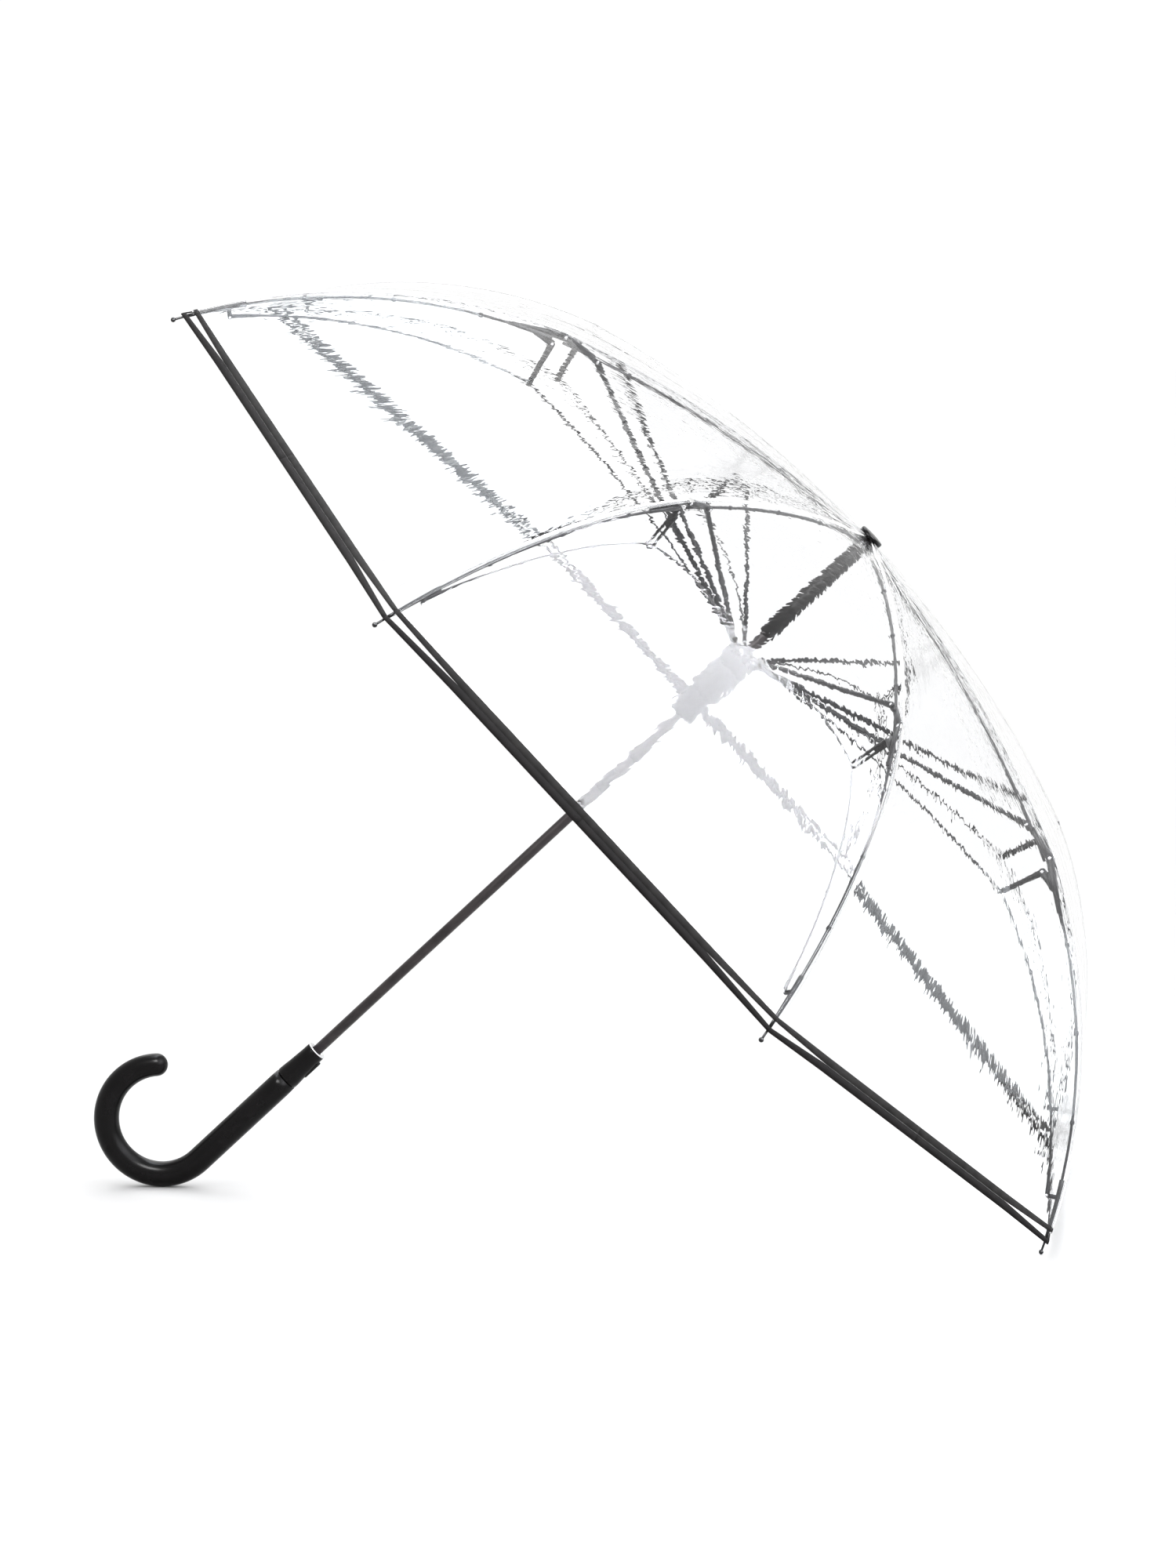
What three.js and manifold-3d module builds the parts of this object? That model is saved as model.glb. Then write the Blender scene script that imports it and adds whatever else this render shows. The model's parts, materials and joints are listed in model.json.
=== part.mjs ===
// Clear umbrella with eight double ribs and a J handle, open and leaning on its hook and two rib tips.
// Millimetres, +Z up. Every piece is drawn on an upright umbrella: the shaft is the Z axis, and a place on it
// is (r, s), r out from the shaft's axis and s down from the crown. The whole umbrella is then tilted.
import * as THREE from 'three';
import { mergeVertices } from 'three/addons/utils/BufferGeometryUtils.js';
import Module from 'manifold-3d';

const wasm = await Module();
wasm.setup();

// Driving dimensions.
const RIB_COUNT = 8;
const RIB_PITCH = (2 * Math.PI) / RIB_COUNT;
const CROWN_PIVOT = { r: 9, s: 5 };
const LUG_PIVOT = { r: 288.6, s: 57.2 };
const ELBOW_PIVOT = { r: 323.5, s: 62 };
const STRUT_PIVOT = { r: 328.2, s: 73.6 };
const STRUT_EYE = { r: 317.4, s: 109.6 };
const BOW_PIVOT = { r: 539.1, s: 247 };
const RUNNER_PIVOT = { r: 15, s: 143 };
const TIP = { r: 571, s: 281.5 };
const TIP_BALL_RADIUS = 2.2;

const ROD_HALF = 1.2;
const WIRE_HALF = 0.7;
const BAR_HALF = 1.5; // a stretcher's
const BRACKET_RADIUS = 2.1;
const LINK_RADIUS = 1.8;
const CHEEK_RADIUS = 2.7;
const EYE_RADIUS = 2.3; // where a strut or stretcher turns on a pin
const WIRE_EYE_RADIUS = 1.4;
const CLIP_RADIUS = 1.6;
const SLOT_HALF = 0.95;
const LINK_START = 13; // from the elbow pivot, along the outer rib
const LINK_END = 25;
const BRACKET_LENGTH = 30;
const ELBOW_DROP = 5; // the rods run this far under the elbow pivot, so a folded rib lies beside the next
const INNER_SAGITTA = 12;
const OUTER_SAGITTA = 29;
const BOW_SAGITTA = 18;
const CONTROL_SAGITTA = 11;

// Each moving piece keeps to its own lane across the rib's plane, so nothing crosses as the ribs fold.
const ROD_LANE = [-1.2, 1.2];
const CHEEK_LANE = [1.5, 2.7];
const STRETCHER_LANE = [3, 4.6];
const BOW_LANE = [-3, -1.6];
const CONTROL_LANE = [-4.9, -3.5];

const SHAFT_RADIUS = 4.5;
const SLIP = 0.3;
const CAP_RADIUS = 11.5;
const CAP_HEIGHT = 3.5;
const HUB_RADIUS = 6.4;
const HUB_TOP = 1.2;
const HUB_BOTTOM = 10;
const SLEEVE_RADIUS = 7;
const SLEEVE_BOTTOM = 118;
const RUNNER_BORE = 6.4;
const RUNNER_HUB_RADIUS = 11.5;
const RUNNER_TOP = 138.5;
const RUNNER_WIDE_TOP = 148;
const RUNNER_WIDE_RADIUS = 15.6;
const RUNNER_WIDE_BOTTOM = 192;
const RUNNER_NECK_RADIUS = 11.8;
const RUNNER_BOTTOM = 222;
const CATCH_TOP = 275;
const CATCH_HEIGHT = 4;
const CATCH_RADIUS = 6;

const COLLAR_TOP = 664;
const RING_HEIGHT = 2.6;
const COLLAR_RADIUS = 9;
const GRIP_TOP = 702;
const GRIP_RADIUS = 11.2;
const BORE_DEPTH = 30;
const HOOK_CENTRE_S = 810;
const HOOK_RADIUS = 49;
const HOOK_SWEEP = THREE.MathUtils.degToRad(219);
const BUTTON_TOP = 670;
const BUTTON_LENGTH = 19;
const BUTTON_WIDTH = 5;
const BUTTON_FACE = 10.9;
const BUTTON_ROOT = 7.2;
const BUTTON_TRAVEL = 1.4;

const FILM_THICKNESS = 0.3;
const FILM_HOLE = 6;
const FILM_CLEARANCE = 2.7; // from a rod's middle to the film's
const ELBOW_CLEARANCE = 9.2;
const HEM_THICKNESS = 0.9;
const HEM_START = 21; // along the rib, from the tip
const HEM_END = 8;

// A point of the rib's plane, as a shape point with z up.
function point(place) {
  return new THREE.Vector2(place.r, -place.s);
}

// Points of an arc between two plane points, bulging to the left of the way from start to end.
function arcPoints(start, end, sagitta, steps) {
  const chord = end.clone().sub(start);
  const half = chord.length() / 2;
  const left = new THREE.Vector2(-chord.y, chord.x).normalize();
  const radius = (half * half + sagitta * sagitta) / (2 * sagitta);
  const centre = start.clone().lerp(end, 0.5).addScaledVector(left, sagitta - radius);
  const spread = Math.asin(half / radius);
  const middle = Math.atan2(left.y, left.x);
  const points = [];
  for (let i = 0; i <= steps; i += 1) {
    const angle = middle + spread * (1 - (2 * i) / steps);
    points.push(new THREE.Vector2(Math.cos(angle), Math.sin(angle)).multiplyScalar(radius).add(centre));
  }
  return points;
}

// The unit normal to the left of a line of points, at point i.
function normalAt(points, i) {
  const before = points[Math.max(i - 1, 0)];
  const after = points[Math.min(i + 1, points.length - 1)];
  return new THREE.Vector2(before.y - after.y, after.x - before.x).normalize();
}

// The part of a line of points that is at least some distance from a centre.
function beyond(points, centre, distance) {
  return points.filter((p) => p.distanceTo(centre) >= distance);
}

// The first of the points that is at least some distance from a centre.
function firstBeyond(points, centre, distance) {
  return beyond(points, centre, distance)[0];
}

// A flat bar of even width that follows a line of points.
function strip(points, half) {
  const left = points.map((p, i) => p.clone().addScaledVector(normalAt(points, i), half));
  const right = points.map((p, i) => p.clone().addScaledVector(normalAt(points, i), -half));
  return new THREE.Shape([...right, ...left.reverse()]);
}

// A straight bar with round ends.
function stadium(start, end, radius) {
  const along = Math.atan2(end.y - start.y, end.x - start.x);
  const shape = new THREE.Shape();
  shape.absarc(end.x, end.y, radius, along - Math.PI / 2, along + Math.PI / 2, false);
  shape.absarc(start.x, start.y, radius, along + Math.PI / 2, along + 1.5 * Math.PI, false);
  shape.closePath();
  return shape;
}

// A shape of the rib's plane as a plate that fills a lane.
function plate(shape, lane) {
  const geometry = new THREE.ExtrudeGeometry(shape, {
    depth: lane[1] - lane[0],
    bevelEnabled: false,
    curveSegments: 2,
  });
  geometry.translate(0, 0, lane[0]);
  geometry.rotateX(Math.PI / 2);
  return geometry;
}

// A ring or disc turned about the shaft's axis, from its outline of (radius, s) places.
function turned(outline, segments = 24) {
  const closed = [...outline, outline[0]];
  const profile = closed.map((p) => new THREE.Vector2(p[0], -p[1]));
  const geometry = new THREE.LatheGeometry(profile, segments);
  geometry.rotateX(Math.PI / 2);
  return geometry;
}

// A ring round the shaft with square edges.
function ring(inner, outer, top, bottom, segments = 24) {
  return turned([[inner, top], [inner, bottom], [outer, bottom], [outer, top]], segments);
}

function toManifold(geometry) {
  const bare = geometry.clone();
  bare.deleteAttribute('normal');
  bare.deleteAttribute('uv');
  const merged = mergeVertices(bare, 1e-4);
  return new wasm.Manifold(new wasm.Mesh({
    numProp: 3,
    vertProperties: Float32Array.from(merged.attributes.position.array),
    triVerts: Uint32Array.from(merged.index.array),
  }));
}

function fromManifold(solid) {
  const mesh = solid.getMesh();
  const geometry = new THREE.BufferGeometry();
  geometry.setAttribute('position', new THREE.BufferAttribute(Float32Array.from(mesh.vertProperties), 3));
  geometry.setIndex(new THREE.BufferAttribute(Uint32Array.from(mesh.triVerts), 1));
  geometry.computeVertexNormals();
  return geometry;
}

function fuse(...geometries) {
  return fromManifold(geometries.map(toManifold).reduce((whole, piece) => whole.add(piece)));
}

function cut(geometry, ...tools) {
  return fromManifold(tools.map(toManifold).reduce((left, tool) => left.subtract(tool), toManifold(geometry)));
}

// Materials.
function material(color, roughness, metalness = 0, opacity = 1) {
  return new THREE.MeshStandardMaterial({ color, roughness, metalness, opacity, transparent: opacity < 1 });
}
const BLACK_METAL = () => material(0x1b1a1c, 0.35, 0.6);
const BLACK_PLASTIC = () => material(0x141314, 0.45);
const SHAFT_METAL = () => material(0x3a3434, 0.35, 0.7);
const BRIGHT_METAL = () => material(0xc8c8ca, 0.2, 1);
const CLEAR_FILM = () => material(0xf6f8fb, 0.05, 0, 0.15);
const BINDING_CLOTH = () => material(0x2c2d2f, 0.85);

const umbrella = new THREE.Group();

function place(name, geometry, look, azimuth = 0) {
  const mesh = new THREE.Mesh(geometry, look);
  mesh.name = name;
  mesh.rotation.z = azimuth;
  umbrella.add(mesh);
  return mesh;
}

// The centrelines of the rods and wires, in the rib's plane.
const elbow = point(ELBOW_PIVOT);
const lug = point(LUG_PIVOT);
const strutPivot = point(STRUT_PIVOT);
const strutEye = point(STRUT_EYE);
const bowPivot = point(BOW_PIVOT);
const crownPivot = point(CROWN_PIVOT);
const runnerPivot = point(RUNNER_PIVOT);
const tip = point(TIP);
const ELBOW_SLOPE = THREE.MathUtils.degToRad(17);
const underElbow = elbow.clone().add(
  new THREE.Vector2(-Math.sin(ELBOW_SLOPE), -Math.cos(ELBOW_SLOPE)).multiplyScalar(ELBOW_DROP),
);
const innerLine = arcPoints(crownPivot, underElbow, INNER_SAGITTA, 8);
const innerFine = arcPoints(crownPivot, underElbow, INNER_SAGITTA, 80);
const outerLine = arcPoints(underElbow, tip, OUTER_SAGITTA, 16);
const outerFine = arcPoints(underElbow, tip, OUTER_SAGITTA, 80);
const bowLine = arcPoints(bowPivot, strutEye, -BOW_SAGITTA, 10);
const controlLine = arcPoints(runnerPivot, strutEye, CONTROL_SAGITTA, 8);

function innerRib() {
  const bracketStart = beyond(innerFine, elbow, BRACKET_LENGTH).pop();
  return fuse(
    plate(strip(innerLine, ROD_HALF), ROD_LANE),
    plate(stadium(crownPivot, innerLine[1].clone().lerp(crownPivot, 0.8), BRACKET_RADIUS), ROD_LANE),
    plate(stadium(bracketStart, elbow, BRACKET_RADIUS), ROD_LANE),
  );
}

function outerRib() {
  const rod = [firstBeyond(outerFine, elbow, 9), ...beyond(outerLine, elbow, 15)];
  const linkStart = firstBeyond(outerFine, elbow, LINK_START);
  const linkEnd = firstBeyond(outerFine, elbow, LINK_END);
  const clipRoot = outerFine.reduce((best, p) => (p.distanceTo(bowPivot) < best.distanceTo(bowPivot) ? p : best));
  const ball = new THREE.SphereGeometry(TIP_BALL_RADIUS, 8, 6);
  ball.translate(tip.x, 0, tip.y);
  return fuse(
    plate(strip(rod, ROD_HALF), ROD_LANE),
    plate(stadium(linkStart, linkEnd, LINK_RADIUS), [0, CHEEK_LANE[1]]),
    plate(stadium(elbow, linkEnd, CHEEK_RADIUS), CHEEK_LANE),
    plate(stadium(strutPivot, linkEnd, CHEEK_RADIUS), CHEEK_LANE),
    plate(stadium(clipRoot, bowPivot, CLIP_RADIUS), ROD_LANE),
    ball,
  );
}

function strut() {
  const shape = stadium(strutPivot, strutEye, EYE_RADIUS);
  const slotStart = strutPivot.clone().lerp(strutEye, 0.36);
  const slotEnd = strutPivot.clone().lerp(strutEye, 0.94);
  shape.holes.push(stadium(slotStart, slotEnd, SLOT_HALF));
  return plate(shape, ROD_LANE);
}

function stretcher() {
  const line = arcPoints(runnerPivot, lug, 0.5, 2);
  return fuse(
    plate(strip(line, BAR_HALF), STRETCHER_LANE),
    plate(stadium(runnerPivot, runnerPivot.clone().lerp(lug, 0.05), EYE_RADIUS), STRETCHER_LANE),
    plate(stadium(lug.clone().lerp(runnerPivot, 0.06), lug, EYE_RADIUS), STRETCHER_LANE),
  );
}

function bowWire() {
  return fuse(
    plate(strip(bowLine, WIRE_HALF), BOW_LANE),
    plate(stadium(bowLine[0], bowLine[1], WIRE_EYE_RADIUS), BOW_LANE),
  );
}

function controlWire() {
  return fuse(
    plate(strip(controlLine, WIRE_HALF), CONTROL_LANE),
    plate(stadium(runnerPivot, controlLine[1], WIRE_EYE_RADIUS), CONTROL_LANE),
  );
}

const ribPieces = {
  inner_rib: [innerRib(), BLACK_METAL],
  outer_rib: [outerRib(), BLACK_METAL],
  stretcher: [stretcher(), BLACK_METAL],
  strut: [strut(), BLACK_PLASTIC],
  bow_wire: [bowWire(), BLACK_METAL],
  control_wire: [controlWire(), BLACK_METAL],
};
for (let k = 0; k < RIB_COUNT; k += 1) {
  for (const [name, [geometry, look]] of Object.entries(ribPieces)) {
    place(`${name}_${k + 1}`, geometry, look(), (k - 3.5) * RIB_PITCH);
  }
}

// Shaft, crown and the rings on the shaft.
const shaft = new THREE.CylinderGeometry(SHAFT_RADIUS, SHAFT_RADIUS, GRIP_TOP + BORE_DEPTH - 1.3, 20);
shaft.rotateX(Math.PI / 2);
shaft.translate(0, 0, -0.3 - (GRIP_TOP + BORE_DEPTH - 1.3) / 2);
place('shaft', shaft, SHAFT_METAL());

function topCap() {
  const edge = 1;
  const profile = [
    [0, 0], [CAP_RADIUS, 0], [CAP_RADIUS, edge - CAP_HEIGHT], [CAP_RADIUS - edge, -CAP_HEIGHT], [0, -CAP_HEIGHT],
  ].map((p) => new THREE.Vector2(p[0], -p[1]));
  const geometry = new THREE.LatheGeometry(profile, 32);
  geometry.rotateX(Math.PI / 2);
  return geometry;
}
place('top_cap', topCap(), BLACK_PLASTIC());

// A box that stands out from a hub at an azimuth, between two radii.
function finger(azimuth, inner, outer, width, top, bottom) {
  const geometry = new THREE.BoxGeometry(outer - inner, width, bottom - top);
  geometry.translate((inner + outer) / 2, 0, -(top + bottom) / 2);
  geometry.rotateZ(azimuth);
  return geometry;
}

function crownHub() {
  const fingers = Array.from({ length: RIB_COUNT }, (_, k) => finger(k * RIB_PITCH, 5.6, 11, 2.2, HUB_TOP, 8.4));
  return fuse(ring(SHAFT_RADIUS + SLIP, HUB_RADIUS, HUB_TOP, HUB_BOTTOM), ...fingers);
}
place('crown_hub', crownHub(), BLACK_PLASTIC());
place('spacer_sleeve', ring(SHAFT_RADIUS + SLIP, SLEEVE_RADIUS, HUB_BOTTOM + 1, SLEEVE_BOTTOM), BLACK_PLASTIC());

function runner() {
  const body = turned([
    [RUNNER_BORE, RUNNER_TOP],
    [RUNNER_BORE, RUNNER_BOTTOM],
    [RUNNER_NECK_RADIUS - 1.5, RUNNER_BOTTOM],
    [RUNNER_NECK_RADIUS, RUNNER_BOTTOM - 1.5],
    [RUNNER_NECK_RADIUS, RUNNER_WIDE_BOTTOM + 3],
    [RUNNER_WIDE_RADIUS, RUNNER_WIDE_BOTTOM],
    [RUNNER_WIDE_RADIUS, RUNNER_WIDE_TOP + 2],
    [RUNNER_WIDE_RADIUS - 2, RUNNER_WIDE_TOP],
    [RUNNER_HUB_RADIUS, RUNNER_WIDE_TOP],
    [RUNNER_HUB_RADIUS, RUNNER_TOP],
  ]);
  const fingers = Array.from({ length: RIB_COUNT }, (_, k) => (
    finger((k + 0.5) * RIB_PITCH, 10, 17, 3, RUNNER_TOP + 1.5, RUNNER_WIDE_TOP + 1)
  ));
  return fuse(body, ...fingers);
}
place('runner', runner(), BLACK_PLASTIC());
place('shaft_catch', ring(SHAFT_RADIUS + SLIP, CATCH_RADIUS, CATCH_TOP, CATCH_TOP + CATCH_HEIGHT), BLACK_PLASTIC());

// Handle: bright ring, collar with the button's pocket, and the J grip with a bore for the shaft.
place(
  'collar_ring',
  ring(SHAFT_RADIUS + SLIP, COLLAR_RADIUS + 0.4, COLLAR_TOP, COLLAR_TOP + RING_HEIGHT),
  BRIGHT_METAL(),
);

function buttonBlock(inner, outer, room) {
  const geometry = new THREE.BoxGeometry(outer - inner, BUTTON_WIDTH + 2 * room, BUTTON_LENGTH + 2 * room);
  geometry.translate((inner + outer) / 2, 0, -BUTTON_TOP - BUTTON_LENGTH / 2);
  return geometry;
}

function collar() {
  const body = turned([
    [SHAFT_RADIUS + SLIP, COLLAR_TOP + RING_HEIGHT + SLIP],
    [SHAFT_RADIUS + SLIP, GRIP_TOP - SLIP],
    [GRIP_RADIUS - 0.4, GRIP_TOP - SLIP],
    [GRIP_RADIUS - 0.4, GRIP_TOP - 5],
    [COLLAR_RADIUS, COLLAR_TOP + RING_HEIGHT + 5],
    [COLLAR_RADIUS, COLLAR_TOP + RING_HEIGHT + SLIP],
  ]);
  return cut(body, buttonBlock(BUTTON_ROOT - BUTTON_TRAVEL - SLIP, GRIP_RADIUS + 5, SLIP));
}
place('handle_collar', collar(), BLACK_PLASTIC());
place('release_button', buttonBlock(BUTTON_ROOT, BUTTON_FACE, 0), BLACK_PLASTIC());

// The J's centreline: down the shaft's axis, then round the hook towards -X.
class HookArc extends THREE.Curve {
  getPoint(t, target = new THREE.Vector3()) {
    const angle = t * HOOK_SWEEP;
    return target.set(
      HOOK_RADIUS * (Math.cos(angle) - 1),
      0,
      -HOOK_CENTRE_S - HOOK_RADIUS * Math.sin(angle),
    );
  }
}

function grip() {
  const section = new THREE.Shape();
  section.absarc(0, 0, GRIP_RADIUS, 0, 2 * Math.PI, false);
  const straight = new THREE.CylinderGeometry(GRIP_RADIUS, GRIP_RADIUS, HOOK_CENTRE_S - GRIP_TOP + 0.5, 16);
  straight.rotateX(Math.PI / 2);
  straight.translate(0, 0, -(GRIP_TOP + HOOK_CENTRE_S + 0.5) / 2);
  const arc = new HookArc();
  const bend = new THREE.ExtrudeGeometry(section, {
    extrudePath: arc,
    steps: 16,
    curveSegments: 8,
    bevelEnabled: false,
  });
  const end = new THREE.SphereGeometry(GRIP_RADIUS, 16, 8);
  const last = arc.getPoint(1);
  end.translate(last.x, last.y, last.z);
  const bore = new THREE.CylinderGeometry(SHAFT_RADIUS + SLIP, SHAFT_RADIUS + SLIP, 2 * BORE_DEPTH, 16);
  bore.rotateX(Math.PI / 2);
  bore.translate(0, 0, -GRIP_TOP);
  return cut(fuse(straight, bend, end), bore);
}
place('handle_grip', grip(), BLACK_PLASTIC());

// The canopy's line over a rib, outside the rods, from the crown's hole to the tip.
function filmLine() {
  const last = innerLine.length - 1;
  const inner = innerLine.map((p, i) => {
    const clearance = THREE.MathUtils.lerp(FILM_CLEARANCE, ELBOW_CLEARANCE, i / last);
    return p.clone().addScaledVector(normalAt(innerLine, i), clearance);
  });
  const outer = outerLine.map((p, i) => {
    const clearance = THREE.MathUtils.lerp(ELBOW_CLEARANCE, FILM_CLEARANCE, i / (outerLine.length - 1));
    return p.clone().addScaledVector(normalAt(outerLine, i), clearance);
  });
  return [new THREE.Vector2(FILM_HOLE, -0.55), new THREE.Vector2(13, -0.55), ...inner.slice(2), ...outer.slice(1)];
}

// A thin eight-sided shell that follows a line over each rib, flat from rib to rib.
function gores(line, thickness) {
  const outside = line.map((p, i) => p.clone().addScaledVector(normalAt(line, i), thickness / 2));
  const inside = line.map((p, i) => p.clone().addScaledVector(normalAt(line, i), -thickness / 2));
  const loop = [...inside, ...outside.reverse()];
  const positions = [];
  const index = [];
  for (let k = 0; k < RIB_COUNT; k += 1) {
    const azimuth = (k + 0.5) * RIB_PITCH;
    for (const p of loop) {
      positions.push(p.x * Math.cos(azimuth), p.x * Math.sin(azimuth), p.y);
    }
  }
  const count = loop.length;
  for (let k = 0; k < RIB_COUNT; k += 1) {
    const here = k * count;
    const next = ((k + 1) % RIB_COUNT) * count;
    for (let i = 0; i < count; i += 1) {
      const j = (i + 1) % count;
      index.push(here + i, next + j, here + j, here + i, next + i, next + j);
    }
  }
  const geometry = new THREE.BufferGeometry();
  geometry.setAttribute('position', new THREE.Float32BufferAttribute(positions, 3));
  geometry.setIndex(index);
  geometry.computeVertexNormals();
  return geometry;
}

const overRib = filmLine();
const overTip = overRib[overRib.length - 1];
const beforeTip = overRib[overRib.length - 2];
const towardsCrown = beforeTip.clone().sub(overTip).normalize();
const fromTip = (distance) => overTip.clone().addScaledVector(towardsCrown, distance);
const filmEdge = overRib.filter((p) => p.distanceTo(overTip) > HEM_START + 2);
place('canopy', gores([...filmEdge, fromTip(HEM_START + 0.5)], FILM_THICKNESS), CLEAR_FILM());
place('hem', gores([fromTip(HEM_START), fromTip(HEM_END)], HEM_THICKNESS), BINDING_CLOTH());

// Tilt the umbrella until the hook and the two lowest tips touch the same floor.
const tipReach = TIP.r * Math.cos(RIB_PITCH / 2);
const acrossRests = tipReach + HOOK_RADIUS;
const alongRests = HOOK_CENTRE_S - TIP.s;
const hookOverBall = HOOK_RADIUS + GRIP_RADIUS - TIP_BALL_RADIUS;
umbrella.rotation.y = Math.atan2(alongRests, acrossRests)
  + Math.asin(hookOverBall / Math.hypot(alongRests, acrossRests));

const part = new THREE.Group();
part.add(umbrella);
part.updateMatrixWorld(true);
const bounds = new THREE.Box3().setFromObject(part, true);
const middle = bounds.getCenter(new THREE.Vector3());
umbrella.position.set(-middle.x, -middle.y, -bounds.min.z);

export default part;
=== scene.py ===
"""Looks of the clear umbrella: film canopy, bound hem, ribs, runner, shaft and J handle."""

import json
import math

import bpy
import numpy as np
from mathutils import Matrix, Vector, noise


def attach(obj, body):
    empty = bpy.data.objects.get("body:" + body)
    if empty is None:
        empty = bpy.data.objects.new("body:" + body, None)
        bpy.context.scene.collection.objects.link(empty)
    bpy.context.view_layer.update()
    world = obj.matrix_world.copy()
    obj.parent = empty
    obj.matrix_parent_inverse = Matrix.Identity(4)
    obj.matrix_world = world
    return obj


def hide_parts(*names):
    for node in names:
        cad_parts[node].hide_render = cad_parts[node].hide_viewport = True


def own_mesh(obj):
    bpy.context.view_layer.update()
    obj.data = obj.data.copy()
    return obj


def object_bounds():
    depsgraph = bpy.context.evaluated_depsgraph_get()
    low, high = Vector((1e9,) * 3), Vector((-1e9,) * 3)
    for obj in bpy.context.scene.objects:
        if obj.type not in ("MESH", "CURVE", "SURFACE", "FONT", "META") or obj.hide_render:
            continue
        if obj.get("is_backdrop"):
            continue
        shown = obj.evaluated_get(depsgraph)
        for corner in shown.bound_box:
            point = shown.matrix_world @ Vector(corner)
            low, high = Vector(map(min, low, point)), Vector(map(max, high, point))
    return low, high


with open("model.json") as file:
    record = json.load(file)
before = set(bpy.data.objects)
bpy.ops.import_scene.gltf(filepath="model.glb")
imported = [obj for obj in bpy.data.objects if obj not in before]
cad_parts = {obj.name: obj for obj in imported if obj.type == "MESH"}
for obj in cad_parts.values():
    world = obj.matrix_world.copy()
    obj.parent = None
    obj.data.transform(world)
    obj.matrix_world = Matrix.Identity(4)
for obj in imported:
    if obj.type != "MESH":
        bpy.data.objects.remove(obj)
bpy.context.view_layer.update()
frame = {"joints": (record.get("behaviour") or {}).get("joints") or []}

# ---------------------------------------------------------------- places, from the frame's joints
RIBS = range(1, 9)
PITCH = 2 * math.pi / len(RIBS)
JOINTS = {j["name"]: j for j in frame["joints"]}


def pivot(joint):
    return np.array(JOINTS[joint]["pos_m"], float)


DOWN = np.array(JOINTS["runner_slide"]["axis"], float)
CROWN_PIVOT_S = 0.005
CROWN = np.mean([pivot(f"crown_hinge_{k}") for k in RIBS], axis=0) - CROWN_PIVOT_S * DOWN


def unit(v):
    return v / np.linalg.norm(v)


RADIAL = {k: unit(pivot(f"crown_hinge_{k}") - CROWN - CROWN_PIVOT_S * DOWN) for k in RIBS}
LOW_SIDE = unit(RADIAL[4] + RADIAL[5])
FAR_SIDE = unit(RADIAL[5] - RADIAL[4])


def radial(azimuth):
    """The direction straight out from the shaft."""
    return math.cos(azimuth) * LOW_SIDE + math.sin(azimuth) * FAR_SIDE


def across(azimuth):
    """The direction round the shaft, square to the rib's plane."""
    return -math.sin(azimuth) * LOW_SIDE + math.cos(azimuth) * FAR_SIDE


def azimuth_of(k):
    return (k - 4.5) * PITCH


def at(azimuth, r, s, lane=0.0):
    """A point at radius r and distance s down from the crown, moved sideways by a lane."""
    return CROWN + DOWN * s + radial(azimuth) * r - across(azimuth) * lane


def plane_place(joint):
    """The (r, s) of a joint of rib 1."""
    from_crown = pivot(joint) - CROWN
    return np.array([from_crown @ RADIAL[1], from_crown @ DOWN])


CROWN_HINGE = plane_place("crown_hinge_1")
ELBOW = plane_place("elbow_hinge_1")
STRUT_ROOT = plane_place("strut_hinge_1")
BOW_CLIP = plane_place("bow_hinge_1")
RUNNER_HINGE = plane_place("stretcher_hinge_1")
LUG = np.array([0.2886, 0.0572])  # where the stretcher meets the inner rib
STRUT_EYE = np.array([0.3174, 0.1096])  # the free end of the forked strut
TIP = np.array([0.571, 0.2815])
ELBOW_SLOPE = math.radians(17)
ELBOW_DROP = 0.005
UNDER_ELBOW = ELBOW + ELBOW_DROP * np.array([-math.sin(ELBOW_SLOPE), math.cos(ELBOW_SLOPE)])

ROD = 0.00125  # radii
WIRE = 0.0010
# Lanes are distances to one side of the rib's plane, so that the pieces pass each other.
ROD_LANE = (-0.0012, 0.0012)
CHEEK_LANE = (0.0015, 0.0027)
STRETCHER_LANE = (0.0030, 0.0046)
BOW_LANE = 0.0023
CONTROL_LANE = 0.0042


def arc(start, end, sagitta, steps):
    """Points of an arc in the rib's plane, bulging away from the handle for a positive sagitta."""
    chord = end - start
    half = np.linalg.norm(chord) / 2
    up = np.array([chord[1], -chord[0]]) / (2 * half)
    radius = (half * half + sagitta * sagitta) / (2 * sagitta)
    centre = (start + end) / 2 + up * (sagitta - radius)
    spread = math.asin(half / abs(radius))
    turn = np.linspace(-spread, spread, steps + 1)
    side = chord / (2 * half)
    return np.array([centre + abs(radius) * math.sin(a) * side + radius * math.cos(a) * up for a in turn])


INNER_LINE = arc(CROWN_HINGE, UNDER_ELBOW, 0.012, 40)
OUTER_LINE = arc(UNDER_ELBOW, TIP, 0.029, 60)
BOW_LINE = arc(STRUT_EYE, BOW_CLIP, 0.018, 40)
CONTROL_LINE = arc(RUNNER_HINGE, STRUT_EYE, 0.011, 30)


# ---------------------------------------------------------------- mesh helpers
def mesh_object(name, verts, faces, material, body, replaces=(), slot=None):
    """A smooth piece that rides a body, and stands for the CAD nodes that it replaces."""
    mesh = bpy.data.meshes.new(name)
    mesh.from_pydata([tuple(v) for v in verts], [], [tuple(f) for f in faces])
    mesh.validate()
    mesh.materials.append(material)
    mesh.polygons.foreach_set("use_smooth", [True] * len(mesh.polygons))
    obj = bpy.data.objects.new(name, mesh)
    bpy.context.scene.collection.objects.link(obj)
    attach(obj, body)
    if replaces:
        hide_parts(*replaces)
    return obj


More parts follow.
